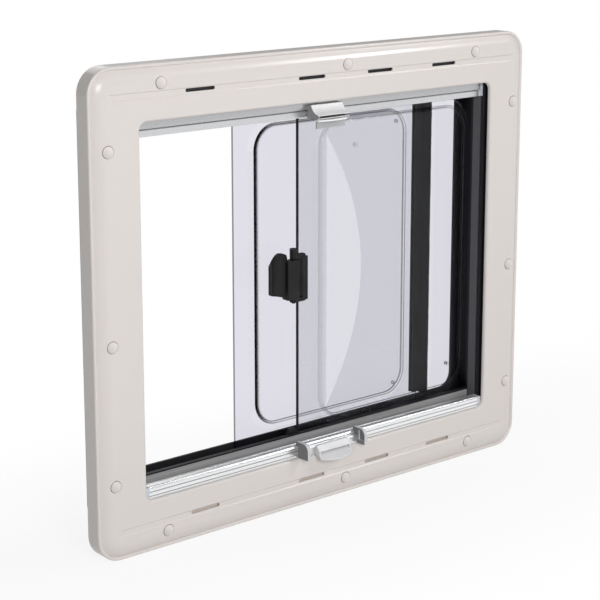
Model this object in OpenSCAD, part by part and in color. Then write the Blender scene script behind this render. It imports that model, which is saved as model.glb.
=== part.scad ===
// Sliding caravan window: a moulded inner frame with a flyscreen and a blackout blind,
// an outer frame behind the wall, one fixed and one sliding double-skinned acrylic pane.
// X runs along the window, Z is up, the room is at -Y and the outside is at +Y.
// The origin lies on the wall-bearing back face of the inner frame's bottom edge, at mid width.

/* [Opening and wall] */
// Clear width of the opening in the inner frame
opening_w = 506; // [420:1:900]
// Clear height of the opening in the inner frame
opening_h = 406; // [300:1:560]
// Corner radius of the opening
opening_r = 9; // [5:0.5:12]
// Thickness of the caravan wall between the two frames
wall_t = 26; // [24:0.5:34]

/* [Inner frame] */
// Width of the border around the opening
border = 59; // [57:0.5:66]
// How far the inner frame stands out from the wall
frame_t = 25; // [23:0.5:29]
// Outer corner radius of the inner frame
frame_r = 28; // [24:0.5:34]
// Thickness of the moulded front wall
shell_t = 2.8; // [2:0.1:3.2]
// Thickness of the rim that bears on the wall
rim_t = 5; // [3.5:0.5:7]
// Radius of the sweep from the front face down to the edge
sweep_r = 24; // [22:1:30]
// Radius of the bead along the outer edge
bead_r = 2; // [1.5:0.1:2.4]
// Radius of the rounded edge of the opening
opening_edge = 3; // [1:0.2:3.4]
// Depth of the return lip around the opening, from the front face
lip_d = 4.5; // [4:0.1:5]
// Height of the decorative groove along the top and bottom rails
groove_h = 5.4; // [4:0.2:7]
// Distance from the opening to the middle of that groove
groove_off = 27.5; // [26:0.5:29]
// Length of a vent slot
slot_l = 38; // [20:1:50]
// Height of a vent slot
slot_h = 3.8; // [2:0.2:4.4]

/* [Screws and caps] */
// Diameter of a screw cap
cap_d = 12; // [9:0.5:14]
// Distance from the opening to the middle of the screws
screw_off = 39; // [37:0.5:41]
// Diameter of a clamping screw
screw_d = 4; // [3:0.5:5]
// Distance from the window's middle to the outer screws of the top and bottom rails
screw_x = 226; // [180:1:240]
// Distance from the window's middle to the outer screws of the sides
screw_z = 177; // [120:1:190]
// How far the middle screws stand off the window's middle
screw_mid = 26; // [0:1:60]

/* [Outer frame] */
// Gap between the cut-out in the wall and the outer frame's tube, on each side
cutout_gap = 2; // [1:0.5:4]
// How far the outer flange covers the wall around the cut-out
flange_w = 8.5; // [6:0.5:20]
// Thickness of that flange
flange_t = 4; // [3:0.5:6]
// How far the outer frame stands out from the flange
outer_rise = 11; // [10:0.5:16]
// Wall thickness of the outer frame
outer_t = 3; // [2:0.5:4]
// Corner radius of the outer frame's glazed opening
daylight_r = 18; // [10:1:24]

/* [Panes] */
// Thickness of one acrylic skin
skin_t = 3; // [2:0.25:4]
// How far the two panes overlap when closed
pane_overlap = 33; // [20:1:50]
// Height of the raised inner skin over the flat one
bubble_h = 7; // [5:0.5:9]
// Margin between the edge of a pane and its raised skin
bubble_margin = 26.5; // [26:0.5:34]
// Corner radius of the raised skin
bubble_r = 30; // [20:1:45]
// How far the sliding pane stands open
pane_open = 176; // [60:1:190]
// Width of the brush strip seen from the side
brush_l = 16; // [10:0.5:16]

/* [Blinds] */
// Depth of the blackout blind's end rail
blackout_d = 13; // [11:0.2:13.4]
// Height of the blackout blind's end rail
blackout_h = 13.4; // [12.6:0.2:18]
// Depth of the flyscreen's end rail
flyscreen_d = 8.4; // [6:0.2:9]
// Height of the flyscreen's end rail
flyscreen_h = 17.4; // [15:0.2:24]
// Diameter of the rolled up flyscreen
flyscreen_roll = 15; // [10:0.5:16]
// Diameter of the rolled up blackout blind
blackout_roll = 16; // [10:0.5:16]
// Width of the flyscreen handle
handle_w = 46; // [30:1:80]
// Width over the two ears of the blackout grip
grip_w = 90; // [78:1:130]

/* [Latch] */
// Height of the latch lever's block
lever_h = 45; // [36:1:60]
// Diameter of the latch pin
pin_d = 4; // [3:0.5:5]

/* [Hidden] */
$fn = 48;

// Overrun of every cutting tool past the face that it cuts
over = 1;
// Gap between pieces that are seated on each other
seat = 0.3;

// Inner frame
frame_w = opening_w + 2 * border;
frame_h = opening_h + 2 * border;
centre_z = frame_h / 2 - rim_t / 2;
front_y = -frame_t;
sweep_run = 20;
bead_drop = 6.5;
boss_d = cap_d + 3.6;
cap_recess = 2.4;
cap_rim = 0.45;
cap_bevel = 0.9;
head_d = 2 * screw_d;
head_h = 2.6;
clear_hole = screw_d + 0.6;
groove_d = 1.1;
groove_side = 1.3;
groove_end = 20;
groove_fade = 12;
slot_x = [-0.348, -0.049, 0.149, 0.346] * opening_w;
cap_line_x = opening_w / 2 + screw_off;
cap_line_z = opening_h / 2 + screw_off;
rib_t = 2;
rib_pitch = 72;

// Outer frame
tube_w = opening_w + 62;
tube_h = opening_h + 62;
tube_r = 22;
outer_y = wall_t + flange_t + outer_rise;
web_y = outer_y - outer_t;
tube_y = 2;
screw_end = wall_t - 4;
pane_cover = 14.5;
well_gap = 3;
daylight_w = opening_w + 8;
daylight_z = opening_h / 2 - 13;
pocket_x = opening_w / 2 + pane_cover + well_gap;
pocket_z = opening_h / 2 + 10;

// Panes, in depth
fixed_y = 10;
sliding_y = web_y - 2 - skin_t - 0.5;
inner_skin_t = 2.5;
pane_edge_x = opening_w / 2 + pane_cover;
pane_w = pane_edge_x + pane_overlap / 2;
pane_floor = opening_h / 2 + 3;
pane_h = 2 * (pane_floor - seat);
pane_r = 6;
edge_strip_w = 1;
fixed_left = pane_edge_x - pane_w;
sliding_left = -pane_edge_x + pane_open;
bubble_flange = 7;
bubble_edge = 5;
bubble_w = pane_w - 2 * bubble_margin;
bubble_tall = opening_h - 2 * bubble_margin;
plug_d = 4;
sliding_plugs = [[bubble_w / 2 - 19, bubble_tall / 2 - 15.5], [bubble_w / 2 - 19, -bubble_tall / 2 + 14]];
fixed_plugs = [[-bubble_w / 2 + 52, bubble_tall / 2 - 32], [bubble_w / 2 - 26, -bubble_tall / 2 + 31]];

// Tracks
track_lip_z = opening_h / 2 - 18;
track_y = 4;
side_z = track_lip_z - seat;
track_foot = pocket_z - seat;
rib_b = fixed_y + skin_t + 0.5;
rib_a = sliding_y - 0.5;
track_rib = 3;
track_end = web_y - seat;

// Blinds, in depth
guide_y0 = front_y + lip_d + seat;
guide_y1 = track_y - seat;
guide_x0 = opening_w / 2 + seat;
guide_x1 = opening_w / 2 + 11;
blackout_y = guide_y0 - 0.1;
flyscreen_y = -13.2;
blackout_top = -opening_h / 2 - seat + blackout_h + 0.5;
flyscreen_top = opening_h / 2 + seat - 0.5;
handle_top = flyscreen_top - 3;
cassette_h = 30;
cassette_y1 = 0.6;
cassette_t = 1.6;
rail_half = opening_w / 2 - 6;
grip_x = 2.4;
ear_w = 4.2;
grip_seat = 6.3;
cap_end = opening_w / 2 - seat;

// Latch
latch_z = 1;
pin_x = fixed_left - 13;
pin_y = 3;
knuckle_d = 9;
latch_gap = 0.3;
lever_z0 = latch_z - lever_h / 2;
lever_z1 = latch_z + lever_h / 2;

// Puts a piece that is drawn about the middle of the opening in its place above the origin.
module placed() {
    translate([0, 0, centre_z]) children();
}

// Extrudes a front view, drawn in X and Z, from depth y0 to depth y1.
module plate(y0, y1) {
    translate([0, y1, 0]) rotate([90, 0, 0]) linear_extrude(y1 - y0) children();
}

// Extrudes a cross-section, drawn in Y and Z, from x0 to x1.
module bar(x0, x1) {
    translate([x0, 0, 0]) rotate([90, 0, 90]) linear_extrude(x1 - x0) children();
}

// Extrudes a plan view, drawn in X and Y, from z0 to z1.
module post(z0, z1) {
    translate([0, 0, z0]) linear_extrude(z1 - z0) children();
}

// A round bar along Y.
module rod_y(d, y0, y1) {
    translate([0, y0, 0]) rotate([-90, 0, 0]) cylinder(d = d, h = y1 - y0);
}

// A round bar along X.
module rod_x(d, x0, x1) {
    translate([x0, 0, 0]) rotate([0, 90, 0]) cylinder(d = d, h = x1 - x0);
}

// A rectangle between two corners.
module box2(x0, y0, x1, y1) {
    translate([x0, y0]) square([x1 - x0, y1 - y0]);
}

// A rectangle with round corners about the origin.
module round_rect(w, h, r) {
    square([w - 2 * r, h], center = true);
    square([w, h - 2 * r], center = true);
    for (sx = [-1, 1]) {
        for (sy = [-1, 1]) {
            translate([sx * (w / 2 - r), sy * (h / 2 - r)]) circle(r);
        }
    }
}

// Sweeps a profile around a rectangle with round corners. The profile's x is the way
// outwards from that line and its y is the depth.
module ring(w, h, r) {
    for (s = [0, 1]) {
        mirror([s, 0, 0]) translate([w / 2, 0, -(h / 2 - r)]) linear_extrude(h - 2 * r) children();
        mirror([0, 0, s]) translate([w / 2 - r, 0, h / 2]) rotate([0, -90, 0])
            linear_extrude(w - 2 * r) children();
        for (t = [0, 1]) {
            mirror([s, 0, 0]) mirror([0, 0, t]) translate([w / 2 - r, 0, h / 2 - r])
                rotate([90, 0, 0]) rotate_extrude(angle = 90) translate([r, 0]) mirror([0, 1])
                children();
        }
    }
}

// What a rounded edge takes off a square one whose corner is at depth y.
// The way is 1 where the material lies at greater depth, and -1 where it lies at less.
module edge_waste(r, y, way) {
    difference() {
        translate([-r, way > 0 ? y - over : y - r]) square([r + over, r + over]);
        translate([-r, y + way * r]) circle(r);
    }
}

// The three screw places of the top or bottom rail, side is 1 or -1.
module rail_screws(side) {
    for (x = [-screw_x, screw_mid, screw_x]) {
        translate([x, 0, side * cap_line_z]) children();
    }
}

// The three screw places of the left or right side, side is -1 or 1.
module side_screws(side) {
    for (z = [-screw_z, -screw_mid, screw_z]) {
        translate([side * cap_line_x, 0, z]) children();
    }
}

// All twelve screw places.
module all_screws() {
    for (side = [-1, 1]) {
        rail_screws(side) children();
        side_screws(side) children();
    }
}

// Moulded frame on the room side, open towards the wall.
module inner_frame() {
    color("#dad3ce") placed() difference() {
        union() {
            difference() {
                plate(front_y, 0) round_rect(frame_w, frame_h, frame_r);
                difference() {
                    plate(front_y + shell_t, over)
                        round_rect(frame_w - 2 * rim_t, frame_h - 2 * rim_t, frame_r - rim_t);
                    ring(frame_w, frame_h, frame_r) border_back();
                }
            }
            plate(front_y + over, front_y + lip_d)
                round_rect(opening_w + 6, opening_h + 6, opening_r + 3);
            all_screws() rod_y(boss_d, front_y + over, 0);
            frame_ribs();
        }
        plate(front_y - over, over) round_rect(opening_w, opening_h, opening_r);
        ring(frame_w, frame_h, frame_r) border_waste();
        ring(opening_w, opening_h, opening_r) mirror([1, 0]) edge_waste(opening_edge, front_y, 1);
        for (side = [-1, 1]) {
            translate([0, 0, side * (opening_h / 2 + groove_off)]) rail_groove();
        }
        all_screws() screw_seat();
    }
}

// What the border takes off a square edge: a long sweep down to a bead.
module border_waste() {
    difference() {
        box2(-sweep_run, front_y - over, over, front_y + bead_drop);
        translate([-sweep_run, front_y + sweep_r]) circle(sweep_r, $fn = 96);
        translate([-bead_r, front_y + bead_drop]) circle(bead_r);
    }
}

// Material behind the sweep, so that the moulding keeps its thickness there.
module border_back() {
    difference() {
        box2(-sweep_run, front_y + over, over, front_y + bead_drop + bead_r + shell_t);
        translate([-sweep_run, front_y + sweep_r]) circle(sweep_r - shell_t, $fn = 96);
    }
}

// Groove and vent slots of one rail. The groove has sloping sides and runs out at its ends.
module rail_groove() {
    half = frame_w / 2 - groove_end;
    side = groove_h / 2 + groove_side;
    deep = front_y + groove_d;
    intersection() {
        bar(-half, half) polygon([
            [front_y - over, -side], [front_y, -side], [deep, -groove_h / 2], [deep, groove_h / 2],
            [front_y, side], [front_y - over, side]
        ]);
        post(-side - over, side + over) polygon([
            [-half, front_y - over], [-half, front_y], [-half + groove_fade, deep + over],
            [half - groove_fade, deep + over], [half, front_y], [half, front_y - over]
        ]);
    }
    for (x = slot_x) {
        translate([x, 0, (groove_h - slot_h) / 2]) plate(front_y - over, front_y + shell_t + over)
            round_rect(slot_l, slot_h, slot_h / 2 - 0.1);
    }
}

// Recess for the cap, seat for the screw's head and the screw's hole.
module screw_seat() {
    recess_d = cap_d + 2 * cap_rim;
    translate([0, front_y - over, 0]) rotate([-90, 0, 0])
        cylinder(d1 = recess_d + 2 * (cap_bevel + over), d2 = recess_d, h = cap_bevel + over);
    rod_y(recess_d, front_y - over, front_y + cap_recess);
    rod_y(head_d + 1, front_y - over, front_y + cap_recess + head_h + 1);
    rod_y(clear_hole, front_y - over, over);
}

// Stiffening ribs between the rim and the blind cassettes or guides.
module frame_ribs() {
    rib_in_x = guide_x1 + seat;
    rib_in_z = opening_h / 2 + cassette_h + 4;
    rail_n = floor(opening_w / 2 / rib_pitch);
    side_n = floor((opening_h / 2 - rib_pitch / 2) / rib_pitch);
    for (side = [-1, 1]) {
        for (i = [-rail_n : rail_n]) {
            translate([i * rib_pitch, 0, side * (rib_in_z + frame_h / 2 - 1) / 2])
                plate(front_y + over, -over) square([rib_t, frame_h / 2 - 1 - rib_in_z], center = true);
        }
        for (i = [-side_n : side_n]) {
            translate([side * (rib_in_x + frame_w / 2 - 1) / 2, 0, i * rib_pitch])
                plate(front_y + over, -over) square([frame_w / 2 - 1 - rib_in_x, rib_t], center = true);
        }
    }
}

// Slightly domed cap that hides one screw.
module screw_cap() {
    dome = 30;
    cap_out = 0.5;
    intersection() {
        rod_y(cap_d, front_y - cap_out, front_y + cap_recess - seat);
        translate([0, front_y - cap_out + dome, 0]) sphere(dome, $fn = 96);
    }
}

module screw_caps_top() {
    color("#dcd6d1") placed() rail_screws(1) screw_cap();
}

module screw_caps_bottom() {
    color("#dcd6d1") placed() rail_screws(-1) screw_cap();
}

module screw_caps_left() {
    color("#dcd6d1") placed() side_screws(-1) screw_cap();
}

module screw_caps_right() {
    color("#dcd6d1") placed() side_screws(1) screw_cap();
}

// Screws that clamp the outer frame to the inner one through the wall.
module clamping_screws() {
    head_y = front_y + cap_recess + head_h + 1;
    color("#b9bcc0") placed() all_screws() {
        rod_y(head_d, head_y - head_h, head_y);
        rod_y(screw_d, head_y - head_h / 2, screw_end);
    }
}

// Black frame outside: tube through the wall, flange, and web that frames the glazing.
module outer_frame() {
    round_edge = 3;
    cover = 2 * (cutout_gap + flange_w);
    color("#242428") placed() difference() {
        union() {
            plate(tube_y, outer_y) round_rect(tube_w, tube_h, tube_r);
            plate(wall_t, wall_t + flange_t)
                round_rect(tube_w + cover, tube_h + cover, tube_r + cover / 2);
        }
        difference() {
            plate(tube_y - over, web_y)
                round_rect(tube_w - 2 * outer_t, tube_h - 2 * outer_t, tube_r - outer_t);
            plate(track_y, outer_y)
                round_rect(2 * (pocket_x + outer_t), 2 * (pocket_z + outer_t), outer_t + 1);
        }
        plate(track_y - over, web_y) square([2 * pocket_x, 2 * pocket_z], center = true);
        plate(web_y - over, outer_y + over) round_rect(daylight_w, 2 * daylight_z, daylight_r);
        ring(tube_w, tube_h, tube_r) edge_waste(round_edge, outer_y, -1);
        ring(tube_w + cover, tube_h + cover, tube_r + cover / 2)
            edge_waste(flange_t / 2, wall_t + flange_t, -1);
    }
}

// Section of the bottom track: foot, grey-faced lip, and ribs on both sides of each pane.
module track_section() {
    foot = -track_foot;
    floor_z = -pane_floor;
    box2(track_y, foot, track_end, floor_z);
    box2(track_y, foot, fixed_y - 0.4, -track_lip_z);
    box2(rib_b, foot, rib_b + track_rib, -opening_h / 2 + 7);
    box2(rib_a - track_rib, foot, rib_a, -opening_h / 2 + 5);
    box2(sliding_y + skin_t + 0.5, foot, track_end, -opening_h / 2 + 5);
}

// Track that both panes stand in.
module bottom_track() {
    strip_d = 0.8;
    color("#1f1f22") placed() difference() {
        bar(-pocket_x + seat, pocket_x - seat) track_section();
        translate([0, 0, -track_lip_z - 6.2]) plate(track_y - over, track_y + strip_d)
            square([opening_w + 4, 9.6], center = true);
    }
}

// Grey strip along the room side of the bottom track.
module sill_strip() {
    color("#858587") placed() translate([0, 0, -track_lip_z - 6.2])
        plate(track_y - 0.2, track_y + 0.8 - 0.1) square([opening_w - 0.8, 9], center = true);
}

// Track that guides both panes at the top.
module top_track() {
    color("#1f1f22") placed() mirror([0, 0, 1]) bar(-pocket_x + seat, pocket_x - seat) track_section();
}

// Side profile that the panes' upright edges run into, in plan, for the right side.
module side_section() {
    jamb = opening_w / 2 + 3;
    back = pocket_x - seat;
    box2(back - 2.2, track_y, back, track_end);
    box2(jamb, track_y, back, fixed_y - 0.4);
    box2(jamb + 6, rib_b, back, rib_b + track_rib);
    box2(jamb + 6, track_end - 1.6, back, track_end);
}

module side_profile_right() {
    color("#232326") placed() post(-side_z, side_z) side_section();
}

module side_profile_left() {
    color("#232326") placed() mirror([1, 0, 0]) post(-side_z, side_z) side_section();
}

// Upright guide for the ends of both blinds, in plan, for the right side.
module guide_section() {
    difference() {
        box2(guide_x0, guide_y0, guide_x1, guide_y1);
        box2(guide_x0 - over, guide_y0 + 1.2, guide_x1 - 2, flyscreen_y - 0.9);
        box2(guide_x0 - over, flyscreen_y + 3, guide_x1 - 2, flyscreen_y + 5.4);
    }
}

module blind_guide_right() {
    z = opening_h / 2 - 0.2;
    color("#2c2d30") placed() post(-z, z) guide_section();
}

module blind_guide_left() {
    z = opening_h / 2 - 0.2;
    color("#2c2d30") placed() mirror([1, 0, 0]) post(-z, z) guide_section();
}

// Housing of a rolled up blind, in section, drawn for the top rail.
module cassette_section() {
    z0 = opening_h / 2 + seat;
    y0 = front_y + lip_d + seat;
    difference() {
        box2(y0, z0, cassette_y1, z0 + cassette_h);
        box2(y0 + cassette_t, z0 + cassette_t, cassette_y1 - cassette_t, z0 + cassette_h - cassette_t);
        box2(flyscreen_y + 2, z0 - over, flyscreen_y + 6, z0 + 2 * cassette_t);
    }
}

module cassette() {
    half = opening_w / 2 + 8;
    bar(-half, half) cassette_section();
    z0 = opening_h / 2 + seat;
    y0 = front_y + lip_d + seat;
    for (side = [-1, 1]) {
        bar(side * half - 1.5, side * half + 1.5) box2(y0, z0, cassette_y1, z0 + cassette_h);
    }
}

// Rolled up blind on its tube, between the ends of its cassette.
module roller(d) {
    half = opening_w / 2 + 8 - 1.5 - seat;
    y = (front_y + lip_d + seat + cassette_y1) / 2;
    z = opening_h / 2 + seat + cassette_h / 2;
    translate([0, y, z]) {
        rod_x(d, -half + 6, half - 6);
        rod_x(8, -half, half);
    }
}

module flyscreen_cassette() {
    color("#8f9297") placed() cassette();
}

module flyscreen_roller() {
    color("#6f7276") placed() roller(flyscreen_roll);
}

module blackout_cassette() {
    color("#8f9297") placed() mirror([0, 0, 1]) cassette();
}

module blackout_roller() {
    color("#c9c9cc") placed() mirror([0, 0, 1]) roller(blackout_roll);
}

// End rail of the flyscreen, parked below its cassette.
module flyscreen_end_rail() {
    z1 = flyscreen_top;
    z0 = z1 - flyscreen_h;
    groove = z1 - 8.6;
    y0 = flyscreen_y;
    y1 = y0 + flyscreen_d;
    color("#cfd1d4") placed() bar(-rail_half, rail_half) {
        box2(y0 + 4, z0 + 1, y1, z1);
        box2(y0, groove, y1, z1);
        box2(y0 + 2, z0 + 1, y1, groove - 2);
        box2(y0 + 3, z0, y1 - 1, z0 + 1 + seat);
        translate([y0 + 3, z0 + 1]) circle(1);
    }
}

// Plugs in the ends of the flyscreen's rail, with tongues that run in the guides.
module flyscreen_rail_caps() {
    z1 = flyscreen_top;
    z0 = z1 - flyscreen_h;
    color("#b7b9bd") placed() for (s = [0, 1]) {
        mirror([s, 0, 0]) {
            bar(rail_half, cap_end - 0.2) box2(flyscreen_y + 1, z0 + 0.6, flyscreen_y + flyscreen_d, z1);
            bar(cap_end - over, guide_x1 - 3) box2(flyscreen_y + 3.3, z0 + 2, flyscreen_y + 5.1, z1 - 2);
        }
    }
}

// Handle of the flyscreen: a deep pull with a hollowed top.
module flyscreen_handle() {
    hollow_r = 14;
    tip = flyscreen_y - 19;
    back = flyscreen_y - 0.2;
    color("#c9cbce") placed() difference() {
        bar(-handle_w / 2, handle_w / 2) polygon([
            [back, handle_top - 15], [back, handle_top - 1], [back - 1, handle_top],
            [back - 6.5, handle_top], [tip, handle_top - 8], [tip, handle_top - 12.4],
            [tip + 1.6, handle_top - 14.6], [tip + 5, handle_top - 15.6]
        ]);
        translate([0, tip - 0.8, handle_top + 4])
            rod_x(2 * hollow_r, -handle_w / 2 - over, handle_w / 2 + over);
        bar(-handle_w / 2 + 2.4, handle_w / 2 + over)
            box2(tip - over, handle_top - 13.4, tip + 8, handle_top - 11);
    }
}

// Curved lip under the handle's slot.
module flyscreen_handle_lip() {
    lip_r = 62;
    tip = flyscreen_y - 19;
    color("#e6e7e9") placed() post(handle_top - 17.5, handle_top - 15.8) intersection() {
        translate([0, tip - 1.2 + lip_r]) circle(lip_r, $fn = 96);
        box2(-handle_w / 2 + 2, tip - 2, handle_w / 2 - 2, tip + 7);
    }
}

// Flat plate below the handle that the blackout grip catches.
module flyscreen_catch_plate() {
    tip = flyscreen_y - 19;
    color("#8d8f93") placed() plate(tip + 5, tip + 6.8) {
        box2(-handle_w / 2 + 2, handle_top - 25.6, handle_w / 2 - 3, handle_top - 17.7);
    }
}

// End rail of the blackout blind, parked on its cassette.
module blackout_end_rail() {
    z1 = blackout_top;
    z0 = z1 - blackout_h;
    y0 = blackout_y;
    y1 = y0 + blackout_d;
    crown_r = 2.6;
    color("#d6d8db") placed() bar(-rail_half, rail_half) difference() {
        union() {
            box2(y0, z0, y1, z1 - crown_r);
            translate([y0 + crown_r, z1 - crown_r]) circle(crown_r);
            translate([y1 - crown_r, z1 - crown_r]) circle(crown_r);
            box2(y0 + crown_r, z1 - 2 * crown_r, y1 - crown_r, z1 - 0.6);
        }
        for (z = [z1 - 5.8, z1 - 10.4]) {
            box2(y0 - over, z - 0.45, y0 + 1, z + 0.45);
        }
    }
}

// Plugs in the ends of the blackout blind's rail, with tongues that run in the guides.
module blackout_rail_caps() {
    z1 = blackout_top - 0.8;
    z0 = blackout_top - blackout_h;
    color("#c5c8cf") placed() for (s = [0, 1]) {
        mirror([s, 0, 0]) {
            bar(rail_half, cap_end - 0.2) box2(blackout_y, z0, blackout_y + blackout_d - 1, z1);
            bar(cap_end - over, guide_x1 - 3) box2(blackout_y + 2.2, z0 + 2, flyscreen_y - 1.8, z1 - 2);
        }
    }
}

// Ear of the blackout grip, in section: it hooks over the rail's rounded top.
module ear_section(inset) {
    top = blackout_top + 5 - inset;
    front = blackout_y - 18 + inset;
    low = blackout_top - 13.3 + inset;
    hook = blackout_y + 3;
    front_r = 8;
    back_r = 2;
    difference() {
        union() {
            box2(front, low, blackout_y - seat, top - front_r);
            box2(front + front_r, low, hook - back_r, top);
            box2(blackout_y - 2, blackout_top, hook, top - back_r);
            translate([front + front_r, top - front_r]) circle(front_r);
            translate([hook - back_r, top - back_r]) circle(back_r);
        }
        box2(blackout_y - seat, low - over, hook + over, blackout_top + seat + inset);
    }
}

// Right ear, with the pocket in its inner face.
module blackout_ear() {
    wall = 2;
    x1 = grip_w / 2;
    difference() {
        bar(x1 - ear_w, x1) ear_section(0);
        bar(x1 - ear_w - over, x1 - wall) intersection() {
            ear_section(wall);
            box2(blackout_y - 40, blackout_top - 9, blackout_y - grip_seat - 1.2, blackout_top + 20);
        }
    }
}

module blackout_ear_right() {
    color("#8c8e91") placed() translate([grip_x, 0, 0]) blackout_ear();
}

module blackout_ear_left() {
    color("#8c8e91") placed() translate([grip_x, 0, 0]) mirror([1, 0, 0]) blackout_ear();
}

// Bar between the ears, along the rail's front.
module blackout_grip_bar() {
    half = grip_w / 2 - ear_w - seat;
    front = blackout_y - grip_seat;
    top = blackout_top - 2.8;
    edge = 1.4;
    color("#c8cacd") placed() translate([grip_x, 0, 0]) bar(-half, half) {
        box2(front, blackout_top - 12.2, blackout_y - seat, top - edge);
        box2(front + edge, top - 2 * edge, blackout_y - seat, top);
        translate([front + edge, top - edge]) circle(edge);
    }
}

// Paddle on the bar: a sloping thumb plate, two cheeks and a curved finger lip under a slot.
module blackout_grip_paddle() {
    half = 23.7;
    cheek = 1.8;
    lip_r = 59;
    lip_y = blackout_y - 20.7;
    back = blackout_y - grip_seat - seat;
    color("#d8dadc") placed() translate([grip_x, 0, blackout_top]) {
        bar(-half, half) box2(back - 1.5, -13.2, back, -2.4);
        bar(-half, half) polygon([
            [back, -2.2], [back - 1.8, -2.2], [back - 6.6, -8.6], [back - 5.2, -9.4],
            [back - 1.5, -4.6], [back, -4.6]
        ]);
        for (s = [0, 1]) {
            mirror([s, 0, 0]) bar(half - cheek, half) polygon([
                [back, -2.2], [back - 1.8, -2.2], [back - 6.6, -8.6], [back - 6.6, -14.2],
                [back, -12.4]
            ]);
        }
        intersection() {
            bar(-half, half) polygon([
                [back, -10.2], [back - 15.5, -18.4], [back - 15.5, -20.2], [back, -12.6]
            ]);
            post(-22, -8) translate([0, lip_y + lip_r]) circle(lip_r, $fn = 96);
        }
    }
}

// Flat outer skin of a pane, from its left edge at x = 0, facing the room at depth y.
module flat_skin(y) {
    plate(y, y + skin_t) translate([pane_w / 2, 0]) round_rect(pane_w, pane_h, pane_r);
}

// Moulded inner skin of a pane, bonded on the flat one at depth y: a shallow tray with a flange.
module raised_skin(y, plugs) {
    w = bubble_w;
    h = bubble_tall;
    t = inner_skin_t;
    translate([pane_w / 2, 0, 0]) difference() {
        union() {
            plate(y - t, y) round_rect(w + 2 * bubble_flange, h + 2 * bubble_flange, bubble_r + bubble_flange);
            difference() {
                plate(y - bubble_h, y) round_rect(w, h, bubble_r);
                ring(w, h, bubble_r) edge_waste(bubble_edge, y - bubble_h, 1);
            }
        }
        difference() {
            plate(y - bubble_h + t, y + over) round_rect(w - 2 * t, h - 2 * t, bubble_r - t);
            ring(w - 2 * t, h - 2 * t, bubble_r - t) edge_waste(bubble_edge - t, y - bubble_h + t, 1);
        }
        for (p = plugs) {
            translate([p[0], 0, p[1]]) rod_y(plug_d, y - bubble_h - over, y - bubble_h + t + over);
        }
    }
}

// The two vent plugs of a raised skin.
module pane_plugs(y, plugs) {
    for (p = plugs) {
        translate([pane_w / 2 + p[0], 0, p[1]]) {
            rod_y(plug_d + 3, y - bubble_h - 1, y - bubble_h);
            rod_y(plug_d - 0.4, y - bubble_h - 0.5, y - bubble_h + inner_skin_t);
        }
    }
}

module fixed_pane_outer_skin() {
    color([0.86, 0.86, 0.9, 0.5]) placed() translate([fixed_left, 0, 0]) flat_skin(fixed_y);
}

module fixed_pane_inner_skin() {
    color([0.86, 0.86, 0.9, 0.5]) placed() translate([fixed_left, 0, 0]) raised_skin(fixed_y, fixed_plugs);
}

module fixed_pane_plugs() {
    color("#e8e8ee") placed() translate([fixed_left, 0, 0]) pane_plugs(fixed_y, fixed_plugs);
}

module sliding_pane_outer_skin() {
    color([0.86, 0.86, 0.9, 0.5]) placed() translate([sliding_left, 0, 0]) flat_skin(sliding_y);
}

module sliding_pane_inner_skin() {
    color([0.86, 0.86, 0.9, 0.5]) placed() translate([sliding_left, 0, 0]) raised_skin(sliding_y, sliding_plugs);
}

module sliding_pane_plugs() {
    color("#e8e8ee") placed() translate([sliding_left, 0, 0]) pane_plugs(sliding_y, sliding_plugs);
}

// Channel profile that a pane's upright edge sits in, in plan: it opens towards -X.
module edge_channel(y, grip, wall) {
    difference() {
        box2(-grip, y - wall - 0.1, 2.4, y + skin_t + wall + 0.1);
        box2(-grip - over, y - 0.1, 0.1, y + skin_t + 0.1);
    }
}

// Dark strip on the fixed pane's free edge.
module fixed_pane_edge_strip() {
    color("#2a2a2d") placed() translate([fixed_left, 0, 0]) post(-side_z, side_z)
        box2(-edge_strip_w - 0.1, fixed_y - 0.3, -0.1, fixed_y + skin_t + 0.3);
}

// Block in the track that holds the foot of the fixed pane's free edge.
module fixed_pane_stop() {
    z0 = -pane_floor + 0.1;
    x1 = fixed_left - edge_strip_w - 0.4;
    color("#1c1c1e") placed() plate(fixed_y - 0.3, fixed_y + skin_t + 0.4) {
        box2(x1 - 15, z0, x1, -track_lip_z - 1.5);
        translate([x1 - 7.5, -track_lip_z - 1.5]) circle(7.5);
    }
}

// Profile on the sliding pane's trailing edge that carries the brush.
module brush_carrier() {
    z = side_z - 1;
    color("#1b1b1d") placed() translate([sliding_left + pane_w, 0, 0]) post(-z, z) difference() {
        edge_channel(sliding_y, 9, 2);
        box2(-0.9, sliding_y - 3, 1.4, sliding_y - 1.6);
    }
}

// Brush that closes the gap between the sliding pane and the fixed one.
module brush_seal() {
    z = side_z - 1;
    y1 = sliding_y - 2.1 - seat;
    color("#0f0f10") placed() translate([sliding_left + pane_w, 0, 0]) post(-z, z)
        box2(-1.6, y1 - brush_l, 2.2, y1);
}

// Base of the latch on the fixed pane's free edge, with knuckles for the pin.
module latch_base() {
    color("#262628") placed() difference() {
        union() {
            post(lever_z0 - 3.5, lever_z1 + 2) translate([fixed_left, 0]) polygon([
                [-3.2, pin_y - 3.4], [-2.6, pin_y - 4], [4.6, pin_y - 4], [5.4, pin_y - 3.2],
                [5.4, fixed_y - 0.1], [0.2, fixed_y - 0.1], [0.2, fixed_y - 0.6],
                [-3.2, fixed_y - 0.6]
            ]);
            latch_knuckle(lever_z1 + latch_gap, lever_z1 + 12);
            latch_knuckle(lever_z0 - 5, lever_z0 - latch_gap);
        }
        translate([pin_x, pin_y, lever_z0 - 10]) cylinder(d = pin_d + 0.04, h = lever_h + 40);
    }
}

// Knuckle round the pin, with the arm that joins it to the base.
module latch_knuckle(z0, z1) {
    post(z0, z1) translate([pin_x, pin_y]) circle(d = knuckle_d);
    post(z0, min(z1, z0 + 4.7)) box2(pin_x, pin_y - 3, fixed_left + 2, pin_y + 3);
}

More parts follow.
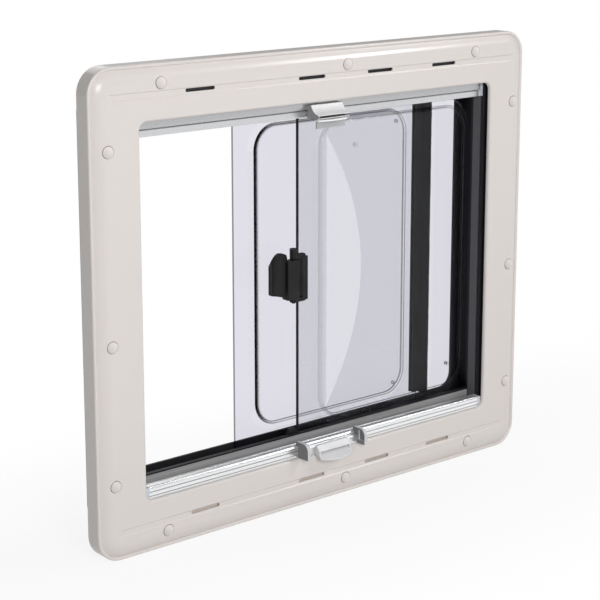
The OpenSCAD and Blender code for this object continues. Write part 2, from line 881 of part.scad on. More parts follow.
module latch_pin() {
    color("#3a3a3d") placed() translate([pin_x, pin_y, lever_z0 - 6.5])
        cylinder(d = pin_d, h = lever_h + 6.5 + 9);
}

// A strip of even width along an arc, in plan.
module arc_band(r, t, a0, a1) {
    reach = 3 * r;
    mid = (a0 + a1) / 2;
    intersection() {
        difference() {
            circle(r + t / 2);
            circle(r - t / 2);
        }
        polygon([
            [0, 0], [reach * cos(a0), reach * sin(a0)], [reach * cos(mid), reach * sin(mid)],
            [reach * cos(a1), reach * sin(a1)]
        ]);
    }
}

// Lever of the latch: a block on the pin and a scooped wing for the fingers.
module latch_lever() {
    wing_t = 2.8;
    scoop_r = 14;
    scoop_x = pin_x - 24.5;
    scoop_y = pin_y - 10;
    tip_angle = 157;
    color("#2f2f31") placed() difference() {
        union() {
            post(lever_z0, lever_z1) {
                translate([pin_x, pin_y]) circle(d = knuckle_d - 0.4);
                box2(pin_x - 13, pin_y - 8, pin_x + 0.6, pin_y - 1);
                box2(pin_x - 14.2, pin_y - 6.8, pin_x - 2, pin_y + 2.5);
                translate([pin_x - 13, pin_y - 6.8]) circle(1.2);
                translate([pin_x + 0.6, pin_y - 5.6]) circle(2.4);
            }
            intersection() {
                post(lever_z0, lever_z1 + 9) {
                    translate([scoop_x, scoop_y]) arc_band(scoop_r, wing_t, 30, tip_angle);
                    translate([scoop_x + scoop_r * cos(tip_angle), scoop_y + scoop_r * sin(tip_angle)])
                        circle(2);
                }
                plate(-20, 40) translate([pin_x, 0]) polygon([
                    [-10, lever_z0 + 3], [-10, lever_z1 + 2], [-13.5, lever_z1 + 7.4],
                    [-16, lever_z1 + 8.6], [-20, lever_z1 + 8.6], [-23, lever_z1 + 6.8],
                    [-31, lever_z1 - 1.4], [-33.5, lever_z1 - 2.6], [-41, lever_z1 - 2.6],
                    [-41, lever_z0 + 11], [-30, lever_z0 + 6], [-17, lever_z0 + 3]
                ]);
            }
        }
        translate([pin_x, pin_y, lever_z0 - over]) cylinder(d = pin_d + 0.1, h = lever_h + 20);
    }
}

inner_frame();
screw_caps_top();
screw_caps_bottom();
screw_caps_left();
screw_caps_right();
clamping_screws();
outer_frame();
bottom_track();
sill_strip();
top_track();
side_profile_left();
side_profile_right();
blind_guide_left();
blind_guide_right();
flyscreen_cassette();
flyscreen_roller();
flyscreen_end_rail();
flyscreen_rail_caps();
flyscreen_handle();
flyscreen_handle_lip();
flyscreen_catch_plate();
blackout_cassette();
blackout_roller();
blackout_end_rail();
blackout_rail_caps();
blackout_ear_left();
blackout_ear_right();
blackout_grip_bar();
blackout_grip_paddle();
fixed_pane_outer_skin();
fixed_pane_inner_skin();
fixed_pane_edge_strip();
fixed_pane_plugs();
fixed_pane_stop();
latch_base();
latch_pin();
latch_lever();
sliding_pane_outer_skin();
sliding_pane_inner_skin();
sliding_pane_plugs();
brush_carrier();
brush_seal();
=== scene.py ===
"""A sliding caravan window with its blinds, on a pale studio floor, seen from the room side."""

import math
import random

import bpy
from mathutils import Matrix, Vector


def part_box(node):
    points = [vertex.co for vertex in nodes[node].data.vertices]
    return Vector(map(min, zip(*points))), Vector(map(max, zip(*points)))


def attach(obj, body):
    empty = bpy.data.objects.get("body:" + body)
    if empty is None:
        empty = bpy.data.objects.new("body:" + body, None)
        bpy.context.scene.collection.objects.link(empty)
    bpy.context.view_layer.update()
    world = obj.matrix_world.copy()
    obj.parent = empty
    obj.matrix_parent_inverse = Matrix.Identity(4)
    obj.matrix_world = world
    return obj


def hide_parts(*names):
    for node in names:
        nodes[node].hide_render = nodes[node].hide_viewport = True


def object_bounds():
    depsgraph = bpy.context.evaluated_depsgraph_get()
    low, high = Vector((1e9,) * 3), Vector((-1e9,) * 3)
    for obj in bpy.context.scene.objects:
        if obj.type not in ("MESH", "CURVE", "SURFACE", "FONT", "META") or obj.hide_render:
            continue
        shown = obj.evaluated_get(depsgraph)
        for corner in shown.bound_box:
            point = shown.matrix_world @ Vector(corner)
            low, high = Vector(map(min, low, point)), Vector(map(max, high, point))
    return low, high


MM = 0.001

# The photograph's camera
CAMERA_TARGET = Vector((-0.0432, -0.025, 0.3253))
CAMERA_AZIMUTH = -39.55
CAMERA_ELEVATION = 12.19
CAMERA_DISTANCE = 1.8744
CAMERA_LENS = 101.8
CAMERA_SENSOR = 36.0
CAMERA_SHIFT = -0.12

# Lights: name, place, size in metres and power in watts
LIGHT_AIM = Vector((0.0, 0.0, 0.26))
LIGHTS = (
    ("key", (-0.8, -2.25, 1.15), 1.0, 35.5),
    ("rim", (1.39, -1.25, 1.43), 0.2, 7.0),
    ("edge", (1.27, -0.44, 1.75), 0.5, 4.0),
    ("outside", (0.6, 2.2, 1.8), 1.6, 12.0),
)
WORLD_LIGHT = 0.3
WHITE = (1.0, 1.0, 1.0, 1.0)

# Floor: it fades to white between two distances, which count less along X
FLOOR_HALF = 6.0
FLOOR_TONE = 0.78
FLOOR_FADE = (0.04, 0.42)
FLOOR_SQUEEZE = (0.35, 1.0, 1.0)
FLOOR_LEAST_WHITE = 0.87

# Plastics darker than this get less gloss than the shader's default
DARK = 0.05
DARK_SHEEN = 0.18

# Scales of a noise that is drawn out into lines along X or Z
ALONG_X = (0.6, 60.0, 60.0)
ALONG_Z = (60.0, 60.0, 0.6)
DRAWN = (0.35, 90.0, 90.0)

# Screw caps: painted shade toward the lower left of their shallow domes, the lean over which it is
# painted, and how dark it gets
LOWER_LEFT = (-0.7, 0.0, -0.7)
CAP_LEAN = 0.15
CAP_PAINTED_SHADE = 0.78

# Lines on the blinds' rails, guides and handle, down from the top or forward from the rear, and
# the width of their edges; they bound painted shade in the rail grooves, the handle slot and above the
# screen rail's joint, and a painted highlight band on the guides
EDGE = 0.2 * MM
RAIL_GROOVES = (5.8 * MM, 10.4 * MM)
RAIL_GROOVE_EDGE = (0.45 * MM, 0.6 * MM)
SCREEN_JOINT = 9.6 * MM
SCREEN_JOINT_WIDTH = 0.8 * MM
GUIDE_HIGHLIGHT = 12 * MM
GUIDE_HIGHLIGHT_EDGE = 0.3 * MM
HANDLE_SLOT = (13.4 * MM, 11.0 * MM)

# Acrylic: share of gloss seen straight on and seen flat, and where the front sheet gets deeper
SHINE = (0.006, 0.7)
SHINE_COLOUR = (0.97, 0.96, 1.0, 1.0)
SHEET_DEEPER_FROM = 0.186
SHEET_DEEPER_OVER = 12 * MM

# Raised skins: tone of the face, radius of the outline's corners, how far inside the outline the
# plain border starts, and half the width over which the painted shades of two walls blend
SHELL_CLEAR = (0.99, 0.99, 0.993)
SHELL_CORNER = 37 * MM
SHELL_BORDER = (4 * MM, 3.5 * MM)
SHELL_BLEND = 2 * MM

# Painted reflection, curved, on the front skin, as shares of its half width and half height
GLOW_START = 0.87
GLOW_WIDTH = 0.44
GLOW_HEIGHT = 0.88
GLOW_EDGE = 1.5 * MM
GLOW_STRENGTH = 0.36

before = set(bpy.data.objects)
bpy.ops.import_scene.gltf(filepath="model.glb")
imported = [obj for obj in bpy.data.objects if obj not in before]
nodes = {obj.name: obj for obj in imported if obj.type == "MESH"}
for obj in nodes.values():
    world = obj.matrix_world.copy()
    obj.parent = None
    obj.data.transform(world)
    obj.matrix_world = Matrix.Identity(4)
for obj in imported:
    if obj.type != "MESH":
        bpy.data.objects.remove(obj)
cad_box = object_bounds()


# Camera

def direction(azimuth, elevation):
    a = math.radians(azimuth)
    e = math.radians(elevation)
    return Vector((math.sin(a) * math.cos(e), -math.cos(a) * math.cos(e), math.sin(e)))


def make_camera():
    data = bpy.data.cameras.new("camera")
    camera = bpy.data.objects.new("camera", data)
    bpy.context.scene.collection.objects.link(camera)
    back = direction(CAMERA_AZIMUTH, CAMERA_ELEVATION)
    camera.location = CAMERA_TARGET + back * CAMERA_DISTANCE
    camera.rotation_mode = "QUATERNION"
    camera.rotation_quaternion = (-back).to_track_quat("-Z", "Y")
    data.sensor_width = CAMERA_SENSOR
    data.lens = CAMERA_LENS
    data.shift_y = CAMERA_SHIFT
    data.clip_start = 0.05
    data.clip_end = 50.0
    bpy.context.scene.camera = camera


# Materials

def scaled(colour, share):
    return tuple(c * share for c in colour)


class Recipe:
    """One procedural material: a Principled shader and short calls for the nodes that feed it."""

    def __init__(self, name, colour, roughness, metallic=0.0):
        self.material = bpy.data.materials.new(name)
        self.material.use_nodes = True
        self.tree = self.material.node_tree
        self.shader = self.tree.nodes["Principled BSDF"]
        self.shader.inputs["Base Color"].default_value = (*colour, 1.0)
        self.shader.inputs["Roughness"].default_value = roughness
        self.shader.inputs["Metallic"].default_value = metallic
        if metallic == 0.0 and max(colour) < DARK:
            self.shader.inputs["Specular IOR Level"].default_value = DARK_SHEEN
        self.colour = colour
        self.place = self.node("ShaderNodeTexCoord").outputs["Object"]

    def node(self, kind, **values):
        made = self.tree.nodes.new(kind)
        for key, value in values.items():
            setattr(made, key, value)
        return made

    def link(self, a, b):
        self.tree.links.new(a, b)

    def feed(self, socket, value):
        """Links a node's output to the socket, or sets it to a plain number or vector."""
        if isinstance(value, bpy.types.NodeSocket):
            self.link(value, socket)
        else:
            socket.default_value = value

    def maths(self, operation, *values, clamp=False):
        made = self.node("ShaderNodeMath", operation=operation, use_clamp=clamp)
        for socket, value in zip(made.inputs, values):
            self.feed(socket, value)
        return made.outputs[0]

    def vectors(self, operation, *values, result="Vector"):
        made = self.node("ShaderNodeVectorMath", operation=operation)
        for socket, value in zip(made.inputs, values):
            self.feed(socket, value)
        return made.outputs[result]

    def product(self, a, b):
        """Two shares multiplied and kept between 0 and 1."""
        return self.maths("MULTIPLY", a, b, clamp=True)

    def ramp(self, value, low, high, out_low=0.0, out_high=1.0, kind="LINEAR"):
        made = self.node("ShaderNodeMapRange", interpolation_type=kind)
        made.inputs["From Min"].default_value = low
        made.inputs["From Max"].default_value = high
        made.inputs["To Min"].default_value = out_low
        made.inputs["To Max"].default_value = out_high
        self.link(value, made.inputs["Value"])
        return made.outputs["Result"]

    def mixed(self, share, low, high):
        """A colour between two: low where the share is 0 and high where it is 1."""
        mix = self.node("ShaderNodeMix", data_type="RGBA")
        self.link(share, mix.inputs["Factor"])
        for socket, value in ((mix.inputs["A"], low), (mix.inputs["B"], high)):
            self.feed(socket, (*value, 1.0) if isinstance(value, tuple) else value)
        return mix.outputs["Result"]

    def blend(self, share, low, high):
        """Makes the surface from two shaders: low where the share is 0 and high where it is 1."""
        mix = self.node("ShaderNodeMixShader")
        self.link(share, mix.inputs["Fac"])
        self.link(low, mix.inputs[1])
        self.link(high, mix.inputs[2])
        self.link(mix.outputs["Shader"], self.tree.nodes["Material Output"].inputs["Surface"])

    def split(self, vector):
        """The X, Y and Z of a vector."""
        made = self.node("ShaderNodeSeparateXYZ")
        self.link(vector, made.inputs["Vector"])
        return made.outputs

    def noise(self, scale, detail=3.0, stretch=None, rough=0.5):
        made = self.node("ShaderNodeTexNoise")
        made.inputs["Scale"].default_value = scale
        made.inputs["Detail"].default_value = detail
        made.inputs["Roughness"].default_value = rough
        place = self.place
        if stretch:
            mapping = self.node("ShaderNodeMapping")
            mapping.inputs["Scale"].default_value = stretch
            self.link(place, mapping.inputs["Vector"])
            place = mapping.outputs["Vector"]
        self.link(place, made.inputs["Vector"])
        return made.outputs["Fac"]

    def facing(self):
        """The direction that the surface faces, in the piece's own axes."""
        return self.node("ShaderNodeTexCoord").outputs["Normal"]

    def side_share(self, axis, low, high):
        """Runs from 0 to 1 as the surface turns to face along an axis of the piece, either way."""
        return self.ramp(self.maths("ABSOLUTE", self.split(self.facing())[axis]), low, high)

    def tint(self, value, other, low=0.35, high=0.65):
        """Lets the colour run to another one where the value is high."""
        socket = self.shader.inputs["Base Color"]
        before = socket.links[0].from_socket if socket.is_linked else self.colour
        self.link(self.mixed(self.ramp(value, low, high), before, other), socket)

    def wear(self, value, rough_low, rough_high, low=0.3, high=0.7):
        """Lets the roughness follow the value."""
        rough = self.ramp(value, low, high, rough_low, rough_high)
        self.link(rough, self.shader.inputs["Roughness"])

    def relief(self, value, strength, distance):
        """Gives the surface a fine height."""
        bump = self.node("ShaderNodeBump")
        bump.inputs["Strength"].default_value = strength
        bump.inputs["Distance"].default_value = distance
        self.link(value, bump.inputs["Height"])
        self.link(bump.outputs["Normal"], self.shader.inputs["Normal"])


def moulded_cream(name, colour, painted_shade=None):
    """Glossy cream moulding, with painted shade toward the lower left of shallow domes if a share is
    given.
    """
    made = Recipe(name, colour, 0.22)
    made.tint(made.noise(2.5, 0.0), scaled(colour, 0.98), 0.2, 0.8)
    if painted_shade:
        # Painted shade: darker where the surface leans toward the lower left
        lean = made.vectors("DOT_PRODUCT", made.facing(), LOWER_LEFT, result="Value")
        made.tint(lean, scaled(colour, painted_shade), -CAP_LEAN, CAP_LEAN)
    made.wear(made.noise(8.0, 0.0), 0.2, 0.26)
    made.relief(made.noise(1500.0, 2.0), 0.025, 0.0002)
    made.shader.inputs["Specular IOR Level"].default_value = 0.33
    return made.material


def grained_plastic(name, colour, rough=0.5, lift=1.5, grain=1100.0, depth=0.14):
    made = Recipe(name, colour, rough)
    made.tint(made.noise(38.0, 4.0), scaled(colour, lift), 0.45, 0.8)
    made.wear(made.noise(70.0, 2.0), rough - 0.07, rough + 0.07)
    made.relief(made.noise(grain, 3.0, rough=0.65), depth, 0.0002)
    return made.material


def extruded(name, colour, along, lift, smooth=0.34, coarse=0.48):
    """Start of a smooth plastic profile with faint lines from the die."""
    made = Recipe(name, colour, smooth)
    made.tint(made.noise(12.0, 3.0, along), scaled(colour, lift), 0.4, 0.8)
    made.wear(made.noise(30.0, 3.0), smooth, coarse)
    made.relief(made.noise(20.0, 2.0, along), 0.06, 0.0002)
    return made


def guide_with_highlight(name, colour, strip):
    """Upright guide, black in front with a painted grey highlight band along its rear part."""
    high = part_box("blind_guide_right")[1]
    made = extruded(name, colour, ALONG_Z, 1.5, 0.34, 0.46)
    highlight_start = high.y - GUIDE_HIGHLIGHT
    # Painted highlight: the rear part of the guide is lighter
    made.tint(made.split(made.place)["Y"], strip, highlight_start, highlight_start + GUIDE_HIGHLIGHT_EDGE)
    return made.material


def drawn_metal(name, colour, rough=0.26):
    """Start of an aluminium profile with a drawn grain along X."""
    made = Recipe(name, colour, rough, 0.85)
    made.tint(made.noise(14.0, 2.0, DRAWN), scaled(colour, 0.94), 0.3, 0.8)
    made.wear(made.noise(18.0, 2.0, DRAWN), rough - 0.03, rough + 0.06)
    made.relief(made.noise(40.0, 1.0, DRAWN), 0.012, 0.0001)
    return made


def grooved_rail(name, colour):
    """The blackout blind's rail, with painted shade in the two grooves along its face."""
    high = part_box("blackout_end_rail")[1]
    made = drawn_metal(name, colour)
    height = made.split(made.place)["Z"]
    for drop in RAIL_GROOVES:
        away = made.maths("ABSOLUTE", made.maths("SUBTRACT", height, high.z - drop))
        # Painted shade along each groove
        made.tint(made.ramp(away, *RAIL_GROOVE_EDGE, 1.0, 0.0), scaled(colour, 0.62), 0.0, 1.0)
    return made.material


def banded_rail(name, colour):
    """The flyscreen's rail, with a darker upper band of painted shade above a dark joint line."""
    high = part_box("flyscreen_end_rail")[1]
    made = drawn_metal(name, colour)
    height = made.split(made.place)["Z"]
    line = high.z - SCREEN_JOINT
    foot = line - SCREEN_JOINT_WIDTH
    # Painted shade on the upper band
    made.tint(height, scaled(colour, 0.72), line + EDGE, high.z)
    made.tint(made.ramp(height, foot, foot + EDGE), (0.2, 0.2, 0.21), 0.0, 1.0)
    # More painted shade over the whole band above the joint line
    made.tint(made.ramp(height, line, line + EDGE), scaled(colour, 0.78), 0.0, 1.0)
    return made.material


def steel(name):
    made = Recipe(name, (0.6, 0.61, 0.63), 0.32, 1.0)
    made.tint(made.noise(240.0, 3.0), (0.5, 0.5, 0.5))
    made.wear(made.noise(400.0, 2.0), 0.26, 0.42)
    made.relief(made.noise(2600.0, 2.0), 0.1, 0.0001)
    return made.material


def cloth(name, colour):
    """Rolled cloth with fine threads both ways and a faint unevenness."""
    thread = 2400.0
    made = Recipe(name, colour, 0.85)
    made.tint(made.noise(thread, 1.0, (1.0, 0.1, 0.1)), scaled(colour, 0.8))
    made.tint(made.noise(20.0, 3.0), scaled(colour, 0.92))
    made.relief(made.noise(thread, 1.0, (0.15, 1.0, 1.0)), 0.3, 0.0003)
    return made.material


def side_shaded_plastic(name, colour, flank_shade, rough=0.4, slot=None):
    """Light satin plastic, with painted shade on its upright sides along X and in a slot between two
    heights.
    """
    made = Recipe(name, colour, rough)
    made.tint(made.noise(40.0, 3.0), scaled(colour, 0.95), 0.4, 0.75)
    if slot:
        # Painted shade in the slot between the two heights
        height = made.split(made.place)["Z"]
        above = made.ramp(height, slot[0] - EDGE, slot[0])
        below = made.ramp(height, slot[1], slot[1] + EDGE, 1.0, 0.0)
        made.tint(made.product(above, below), scaled(colour, 0.22), 0.0, 1.0)
    # Painted shade on the sides that face along X
    made.tint(made.side_share("X", 0.72, 0.86), flank_shade, 0.0, 1.0)
    made.wear(made.noise(300.0, 3.0), rough - 0.06, rough + 0.1)
    made.relief(made.noise(700.0, 3.0, rough=0.7), 0.22, 0.0003)
    return made.material


def bristle(name):
    made = Recipe(name, (0.006, 0.006, 0.007), 0.7)
    made.tint(made.noise(900.0, 2.0), (0.02, 0.02, 0.022), 0.45, 0.8)
    made.relief(made.noise(1400.0, 2.0, (1.0, 0.05, 1.0)), 0.5, 0.0004)
    return made.material


# Acrylic

def glaze(made, colour, glow=None):
    """Lets light through in the colour given, under a gloss that grows at flat angles and where a
    painted reflection share (glow) is given.
    """
    see = made.node("ShaderNodeBsdfTransparent")
    made.link(colour, see.inputs["Color"])
    ripple = made.node("ShaderNodeBump")
    ripple.inputs["Strength"].default_value = 0.08
    ripple.inputs["Distance"].default_value = 0.001
    made.link(made.noise(9.0, 1.0), ripple.inputs["Height"])
    shine = made.node("ShaderNodeBsdfGlossy")
    shine.inputs["Color"].default_value = SHINE_COLOUR
    made.link(ripple.outputs["Normal"], shine.inputs["Normal"])
    made.link(made.ramp(made.noise(160.0, 4.0), 0.4, 0.8, 0.015, 0.07), shine.inputs["Roughness"])
    flat = made.node("ShaderNodeLayerWeight")
    flat.inputs["Blend"].default_value = 0.5
    share = made.ramp(made.maths("POWER", flat.outputs["Facing"], 5.0), 0.0, 1.0, *SHINE)
    if glow is not None:
        share = made.maths("MAXIMUM", share, glow)
    made.blend(share, see.outputs["BSDF"], shine.outputs["BSDF"])
    made.tree.nodes.remove(made.shader)


def clear_sheet(name, clear, cut, deeper=None):
    """Flat clear sheet with darker cut edges, and a deeper tint at its right end if given."""
    made = Recipe(name, clear, 0.0)
    if deeper:
        past = made.ramp(made.split(made.place)["X"], SHEET_DEEPER_FROM,
                         SHEET_DEEPER_FROM + SHEET_DEEPER_OVER)
        clear = made.mixed(past, clear, deeper)
    glaze(made, made.mixed(made.side_share("Y", 0.2, 0.6), cut, clear))
    return made.material


def wall_tones(made, place, centre, walls):
    """Clear on the raised face, with painted shade on its left, right, lower and upper wall, each its
    own.
    """
    left, right, foot, head = ((w, w, w) for w in walls)
    to_right = made.ramp(place["X"], centre.x - SHELL_BLEND, centre.x + SHELL_BLEND)
    to_head = made.ramp(place["Z"], centre.z - SHELL_BLEND, centre.z + SHELL_BLEND)
    upright = made.mixed(to_right, left, right)
    level = made.mixed(to_head, foot, head)
    wall = made.mixed(made.side_share("X", 0.25, 0.6), level, upright)
    face = made.maths("POWER", made.side_share("Y", 0.0, 1.0), 3.0)
    return made.mixed(face, wall, SHELL_CLEAR)


def border_share(made, centre, half):
    """1 on the flat border outside the raised form, whose corners are rounded."""
    inner = (half.x - SHELL_CORNER, 1.0, half.z - SHELL_CORNER)
    past = made.vectors("ABSOLUTE", made.vectors("SUBTRACT", made.place, centre))
    past = made.vectors("MAXIMUM", made.vectors("SUBTRACT", past, inner), (0.0, 0.0, 0.0))
    reach = made.vectors("LENGTH", past, result="Value")
    return made.ramp(reach, SHELL_CORNER - SHELL_BORDER[0], SHELL_CORNER - SHELL_BORDER[1])


def curved_glow(made, place, centre, half):
    """A painted reflection: a wide zone of gloss at the left of the raised face, bowed to the right,
    never from inside it.
    """
    across = made.maths("SUBTRACT", place["X"], centre.x)
    rise = made.maths("POWER", made.maths("SUBTRACT", place["Z"], centre.z), 2.0)
    start = -half.x * GLOW_START
    bow = made.ramp(rise, 0.0, (half.z * GLOW_HEIGHT) ** 2, start + half.x * GLOW_WIDTH, start)
    inside = made.ramp(made.maths("SUBTRACT", bow, across), 0.0, GLOW_EDGE)
    shore = made.ramp(across, start - GLOW_EDGE, start + GLOW_EDGE)
    face = made.ramp(made.side_share("Y", 0.0, 1.0), 0.97, 0.99)
    behind = made.node("ShaderNodeNewGeometry").outputs["Backfacing"]
    outward = made.ramp(behind, 0.0, 1.0, GLOW_STRENGTH, 0.0)
    return made.product(made.product(inside, shore), made.product(face, outward))


def clear_shell(name, node, walls, glows=False):
    """Raised clear skin: painted shade in its walls, by side, and a painted curved reflection if it
    glows.
    """
    made = Recipe(name, SHELL_CLEAR, 0.0)
    low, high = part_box(node)
    centre = (low + high) / 2
    half = (high - low) / 2
    place = made.split(made.place)
    toned = wall_tones(made, place, centre, walls)
    colour = made.mixed(border_share(made, centre, half), toned, SHELL_CLEAR)
    glaze(made, colour, curved_glow(made, place, centre, half) if glows else None)
    return made.material


# Which material goes where

def make_materials():
    cream = moulded_cream("cream_moulding", (0.692, 0.65, 0.627))
    cap = moulded_cream("cream_cap", (0.76, 0.715, 0.69), CAP_PAINTED_SHADE)
    frame_black = grained_plastic("black_frame", (0.016, 0.016, 0.018), 0.48)
    track = extruded("black_track", (0.012, 0.012, 0.014), ALONG_X, 1.4).material
    profile = extruded("black_profile", (0.013, 0.013, 0.015), ALONG_Z, 1.5).material
    guide = guide_with_highlight("guide_black", (0.018, 0.018, 0.02), (0.11, 0.112, 0.122))
    alloy = drawn_metal("rail_alloy", (0.82, 0.825, 0.84)).material
    screen_rail = banded_rail("screen_rail_alloy", (0.73, 0.735, 0.75))
    latch = grained_plastic("latch_black", (0.012, 0.012, 0.0125), 0.36, 1.8, 900.0, 0.2)
    rear_sheet = clear_sheet("acrylic_rear_sheet", (0.868, 0.862, 0.9), (0.3, 0.3, 0.31))
    front_sheet = clear_sheet("acrylic_front_sheet", (0.905, 0.912, 0.912), (0.4, 0.4, 0.42),
                              (0.845, 0.84, 0.875))
    # Raised skins with painted shade on each wall; the front one also gets the painted reflection
    rear_shell = clear_shell("acrylic_rear_shell", "sliding_pane_inner_skin",
                             (0.04, 0.45, 0.1, 0.25))
    front_shell = clear_shell("acrylic_front_shell", "fixed_pane_inner_skin",
                              (0.9, 0.2, 0.4, 0.6), True)
    rail_cap = grained_plastic("rail_cap", (0.55, 0.57, 0.63), 0.4, 1.1)
    cassette = drawn_metal("cassette_grey", (0.06, 0.061, 0.065), 0.5).material
    light_cassette = grained_plastic("cassette_cream", (0.66, 0.58, 0.52), 0.5, 1.03)
    sill = extruded("sill_grey", (0.28, 0.28, 0.285), ALONG_X, 1.4, 0.42, 0.56).material
    plug = clear_sheet("plug_clear", (0.97, 0.97, 0.975), (0.84, 0.84, 0.85))
    # Painted shade on the sides of the ears and handle and in the handle's slot
    grey = side_shaded_plastic("ear_grey", (0.6, 0.605, 0.62), (0.18, 0.182, 0.188))
    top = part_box("flyscreen_handle")[1].z
    slot = tuple(top - drop for drop in HANDLE_SLOT)
    handle = side_shaded_plastic("handle_light", (0.78, 0.782, 0.79), (0.27, 0.272, 0.278), 0.36, slot)
    grip = grained_plastic("grip_light", (0.68, 0.68, 0.69), 0.36, 1.1, 800.0, 0.1)
    return {
        "inner_frame": cream,
        "screw_caps_top": cap,
        "screw_caps_bottom": cap,
        "screw_caps_left": cap,
        "screw_caps_right": cap,
        "clamping_screws": steel("screw_steel"),
        "outer_frame": frame_black,
        "bottom_track": track,
        "top_track": track,
        "sill_strip": sill,
        "side_profile_left": profile,
        "side_profile_right": profile,
        "blind_guide_left": guide,
        "blind_guide_right": guide,
        "flyscreen_cassette": cassette,
        "blackout_cassette": light_cassette,
        "flyscreen_roller": cloth("rolled_mesh", (0.1, 0.105, 0.11)),
        "blackout_roller": cloth("rolled_cloth", (0.55, 0.55, 0.57)),
        "flyscreen_end_rail": screen_rail,
        "blackout_end_rail": grooved_rail("blind_rail_alloy", (0.93, 0.935, 0.945)),
        "flyscreen_rail_caps": rail_cap,
        "blackout_rail_caps": rail_cap,
        "flyscreen_handle": handle,
        "flyscreen_catch_plate": grained_plastic("catch_grey", (0.4, 0.405, 0.415), 0.42, 1.1),
        "handle_dots": grained_plastic("dot_grey", (0.3, 0.28, 0.26), 0.5, 1.1),
        "handle_screw": steel("slot_steel"),
        "flyscreen_handle_lip": grained_plastic("lip_white", (0.86, 0.86, 0.875), 0.3, 1.04),
        "blackout_ear_left": grey,
        "blackout_ear_right": grey,
        "blackout_grip_bar": alloy,
        "blackout_grip_paddle": grip,
        "fixed_pane_outer_skin": front_sheet,
        "fixed_pane_inner_skin": front_shell,
        "sliding_pane_outer_skin": rear_sheet,
        "sliding_pane_inner_skin": rear_shell,
        "fixed_pane_edge_strip": profile,
        "fixed_pane_stop": track,
        "fixed_pane_plugs": plug,
        "sliding_pane_plugs": plug,
        "latch_base": latch,
        "latch_pin": latch,
        "latch_lever": latch,
        "brush_carrier": profile,
        "brush_seal": bristle("brush_bristle"),
    }


def dress():
    looks = make_materials()
    for name, node in nodes.items():
        node.data.materials.clear()
        node.data.materials.append(looks[name])
    return looks


# Pieces that only the scene has

def mesh_object(name, points, faces, material, body, smooth=False):
    mesh = bpy.data.meshes.new(name)
    mesh.from_pydata([tuple(p) for p in points], [], faces)
    mesh.validate()
    mesh.materials.append(material)
    for polygon in mesh.polygons:
        polygon.use_smooth = smooth
    made = bpy.data.objects.new(name, mesh)
    bpy.context.scene.collection.objects.link(made)
    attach(made, body)
    return made


def add_box(points, faces, low, high):
    """Adds a box to a growing list of points and faces."""
    first = len(points)
    for x in (low[0], high[0]):
        for y in (low[1], high[1]):
            for z in (low[2], high[2]):
                points.append((x, y, z))
    for face in ((0, 1, 3, 2), (4, 6, 7, 5), (0, 4, 5, 1), (2, 3, 7, 6), (0, 2, 6, 4), (1, 5, 7, 3)):
        faces.append(tuple(first + i for i in face))


def add_dome(points, faces, centre, normal, radius, rise, sides, rings):
    """Adds a closed lens-shaped bump that stands on a surface."""
    normal = Vector(normal).normalized()
    across = normal.orthogonal().normalized()
    along = normal.cross(across)
    first = len(points)
    for ring in range(rings):
        angle = 0.5 * math.pi * ring / rings
        for side in range(sides):
            turn = 2 * math.pi * side / sides
            flat = across * math.cos(turn) + along * math.sin(turn)
            points.append(centre + flat * radius * math.cos(angle) + normal * rise * math.sin(angle))
    points.append(centre + normal * rise)
    points.append(centre - normal * rise * 0.5)
    top = len(points) - 2
    for ring in range(rings - 1):
        for side in range(sides):
            after = (side + 1) % sides
            faces.append((
                first + ring * sides + side, first + ring * sides + after,
                first + (ring + 1) * sides + after, first + (ring + 1) * sides + side,
            ))
    for side in range(sides):
        after = (side + 1) % sides
        last = first + (rings - 1) * sides
        faces.append((last + side, last + after, top))
        faces.append((first + after, first + side, top + 1))


def make_brush(looks):
    """Bristles with ragged tips on a solid root, in place of the CAD's plain brush strip."""
    low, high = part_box("brush_seal")
    draw = random.Random(7)
    pitch = 0.55 * MM
    thick = 0.5 * MM
    rows = 3
    sway = 0.25
    jitter = 0.1
    ragged = 1.1
    loose = 1.4 * MM
    inset = 0.6 * MM
    root = high.y - low.y - loose
    points = []
    faces = []
    add_box(points, faces, (low.x + inset, high.y - root, low.z), (high.x - inset, high.y, high.z))
    for i in range(int((high.z - low.z) / pitch)):
        for row in range(rows):
            x = low.x + (row + 0.5) / rows * (high.x - low.x - thick) + draw.uniform(-sway, sway) * MM
            x = min(max(x, low.x), high.x - thick)
            z = min(low.z + i * pitch + draw.uniform(0.0, jitter) * MM, high.z - thick)
            tip = low.y + draw.uniform(0.0, ragged) * MM
            add_box(points, faces, (x, tip, z), (x + thick, high.y - root + MM, z + thick))
    brush = mesh_object("brush_bristles", points, faces, looks["brush_seal"], "sliding_pane")
    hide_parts("brush_seal")


def make_handle_dots(looks):
    """Three rows of grip dots on the hollowed top of the flyscreen handle."""
    low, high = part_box("flyscreen_handle")
    hollow_radius = 14 * MM
    hollow_y = low.y - 0.8 * MM
    hollow_z = high.z + 4 * MM
    dot = 0.5 * MM
    step = 2.6 * MM
    longest = 15
    points = []
    faces = []
    for row, angle in enumerate((-42.0, -51.0, -60.0)):
        a = math.radians(angle)
        normal = Vector((0.0, -math.cos(a), -math.sin(a)))
        y = hollow_y + hollow_radius * math.cos(a)
        z = hollow_z + hollow_radius * math.sin(a)
        count = longest - row % 2
        for i in range(count):
            x = (i - (count - 1) / 2) * step
            add_dome(points, faces, Vector((x, y, z)), normal, dot, dot * 0.5, 8, 2)
    mesh_object("handle_dots", points, faces, looks["handle_dots"], "window", True)


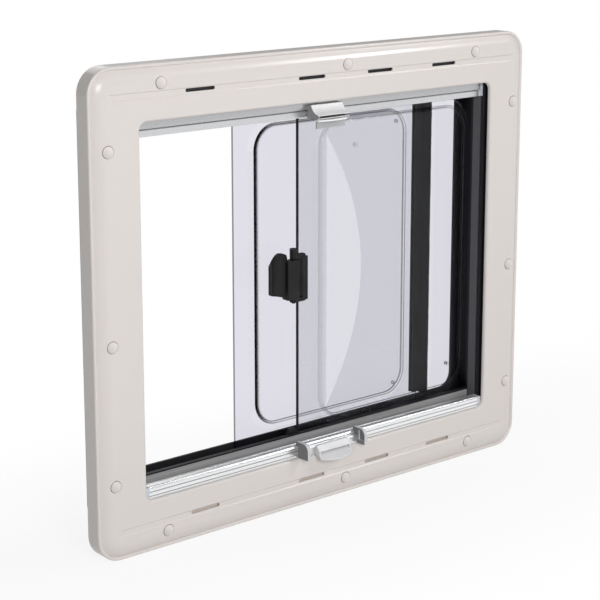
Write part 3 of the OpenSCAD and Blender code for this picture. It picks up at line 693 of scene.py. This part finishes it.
def make_handle_screw(looks):
    """The screw head in the slot below the flyscreen handle's top."""
    low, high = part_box("flyscreen_handle")
    centre = Vector((8 * MM, low.y + 7 * MM, high.z - 12.2 * MM))
    radius = 1.2 * MM
    rise = 1.4 * MM
    points = []
    faces = []
    add_dome(points, faces, centre, (0.0, -1.0, 0.0), radius, rise, 16, 4)
    mesh_object("handle_screw", points, faces, looks["handle_screw"], "window", True)


# Stage

def area_light(name, place, size, power):
    data = bpy.data.lights.new(name, "AREA")
    data.size = size
    data.energy = power
    light = bpy.data.objects.new(name, data)
    bpy.context.scene.collection.objects.link(light)
    light.location = place
    aim = LIGHT_AIM - Vector(place)
    light.rotation_mode = "QUATERNION"
    light.rotation_quaternion = aim.to_track_quat("-Z", "Y")


def background_rays(tree, *more):
    """1 for rays that see the plain white: from the camera, through glass and the kinds named."""
    path = tree.nodes.new("ShaderNodeLightPath")
    either = path.outputs["Is Camera Ray"]
    for kind in ("Is Transmission Ray", *more):
        larger = tree.nodes.new("ShaderNodeMath")
        larger.operation = "MAXIMUM"
        tree.links.new(either, larger.inputs[0])
        tree.links.new(path.outputs[kind], larger.inputs[1])
        either = larger.outputs[0]
    return either


def make_world():
    """Soft light all round, seen as plain white by the camera."""
    world = bpy.data.worlds.new("studio")
    bpy.context.scene.world = world
    world.use_nodes = True
    tree = world.node_tree
    tree.nodes.clear()
    mix = tree.nodes.new("ShaderNodeMixShader")
    tree.links.new(background_rays(tree), mix.inputs["Fac"])
    for i, strength in ((1, WORLD_LIGHT), (2, 1.0)):
        light = tree.nodes.new("ShaderNodeBackground")
        light.inputs["Color"].default_value = WHITE
        light.inputs["Strength"].default_value = strength
        tree.links.new(light.outputs["Background"], mix.inputs[i])
    out = tree.nodes.new("ShaderNodeOutputWorld")
    tree.links.new(mix.outputs["Shader"], out.inputs["Surface"])


def floor_material():
    """Pale matt floor that turns as white as the background with the distance."""
    made = Recipe("floor", (FLOOR_TONE, FLOOR_TONE, FLOOR_TONE), 0.9)
    made.shader.inputs["Specular IOR Level"].default_value = 0.0
    white = made.node("ShaderNodeEmission")
    white.inputs["Strength"].default_value = 1.0
    away = made.vectors("LENGTH", made.vectors("MULTIPLY", made.place, FLOOR_SQUEEZE), result="Value")
    fade = made.ramp(away, *FLOOR_FADE, FLOOR_LEAST_WHITE, 1.0, "SMOOTHSTEP")
    share = made.maths("MULTIPLY", fade, background_rays(made.tree, "Is Glossy Ray"))
    made.blend(share, made.shader.outputs["BSDF"], white.outputs["Emission"])
    return made.material


def make_floor():
    """A floor under the window that keeps its shadow and fades into the white background."""
    h = FLOOR_HALF
    mesh = bpy.data.meshes.new("floor")
    mesh.from_pydata([(-h, -h, 0), (h, -h, 0), (h, h, 0), (-h, h, 0)], [], [(0, 1, 2, 3)])
    mesh.materials.append(floor_material())
    floor = bpy.data.objects.new("floor", mesh)
    bpy.context.scene.collection.objects.link(floor)
    floor.location = (0.0, 0.0, cad_box[0].z)


def make_stage():
    make_world()
    make_floor()
    for light in LIGHTS:
        area_light(*light)


def make_view():
    """Plain colours, and enough see-through layers for both double panes."""
    scene = bpy.context.scene
    scene.view_settings.view_transform = "Standard"
    scene.cycles.transparent_max_bounces = 64


make_view()
make_camera()
surfaces = dress()
make_brush(surfaces)
make_handle_dots(surfaces)
make_handle_screw(surfaces)
make_stage()
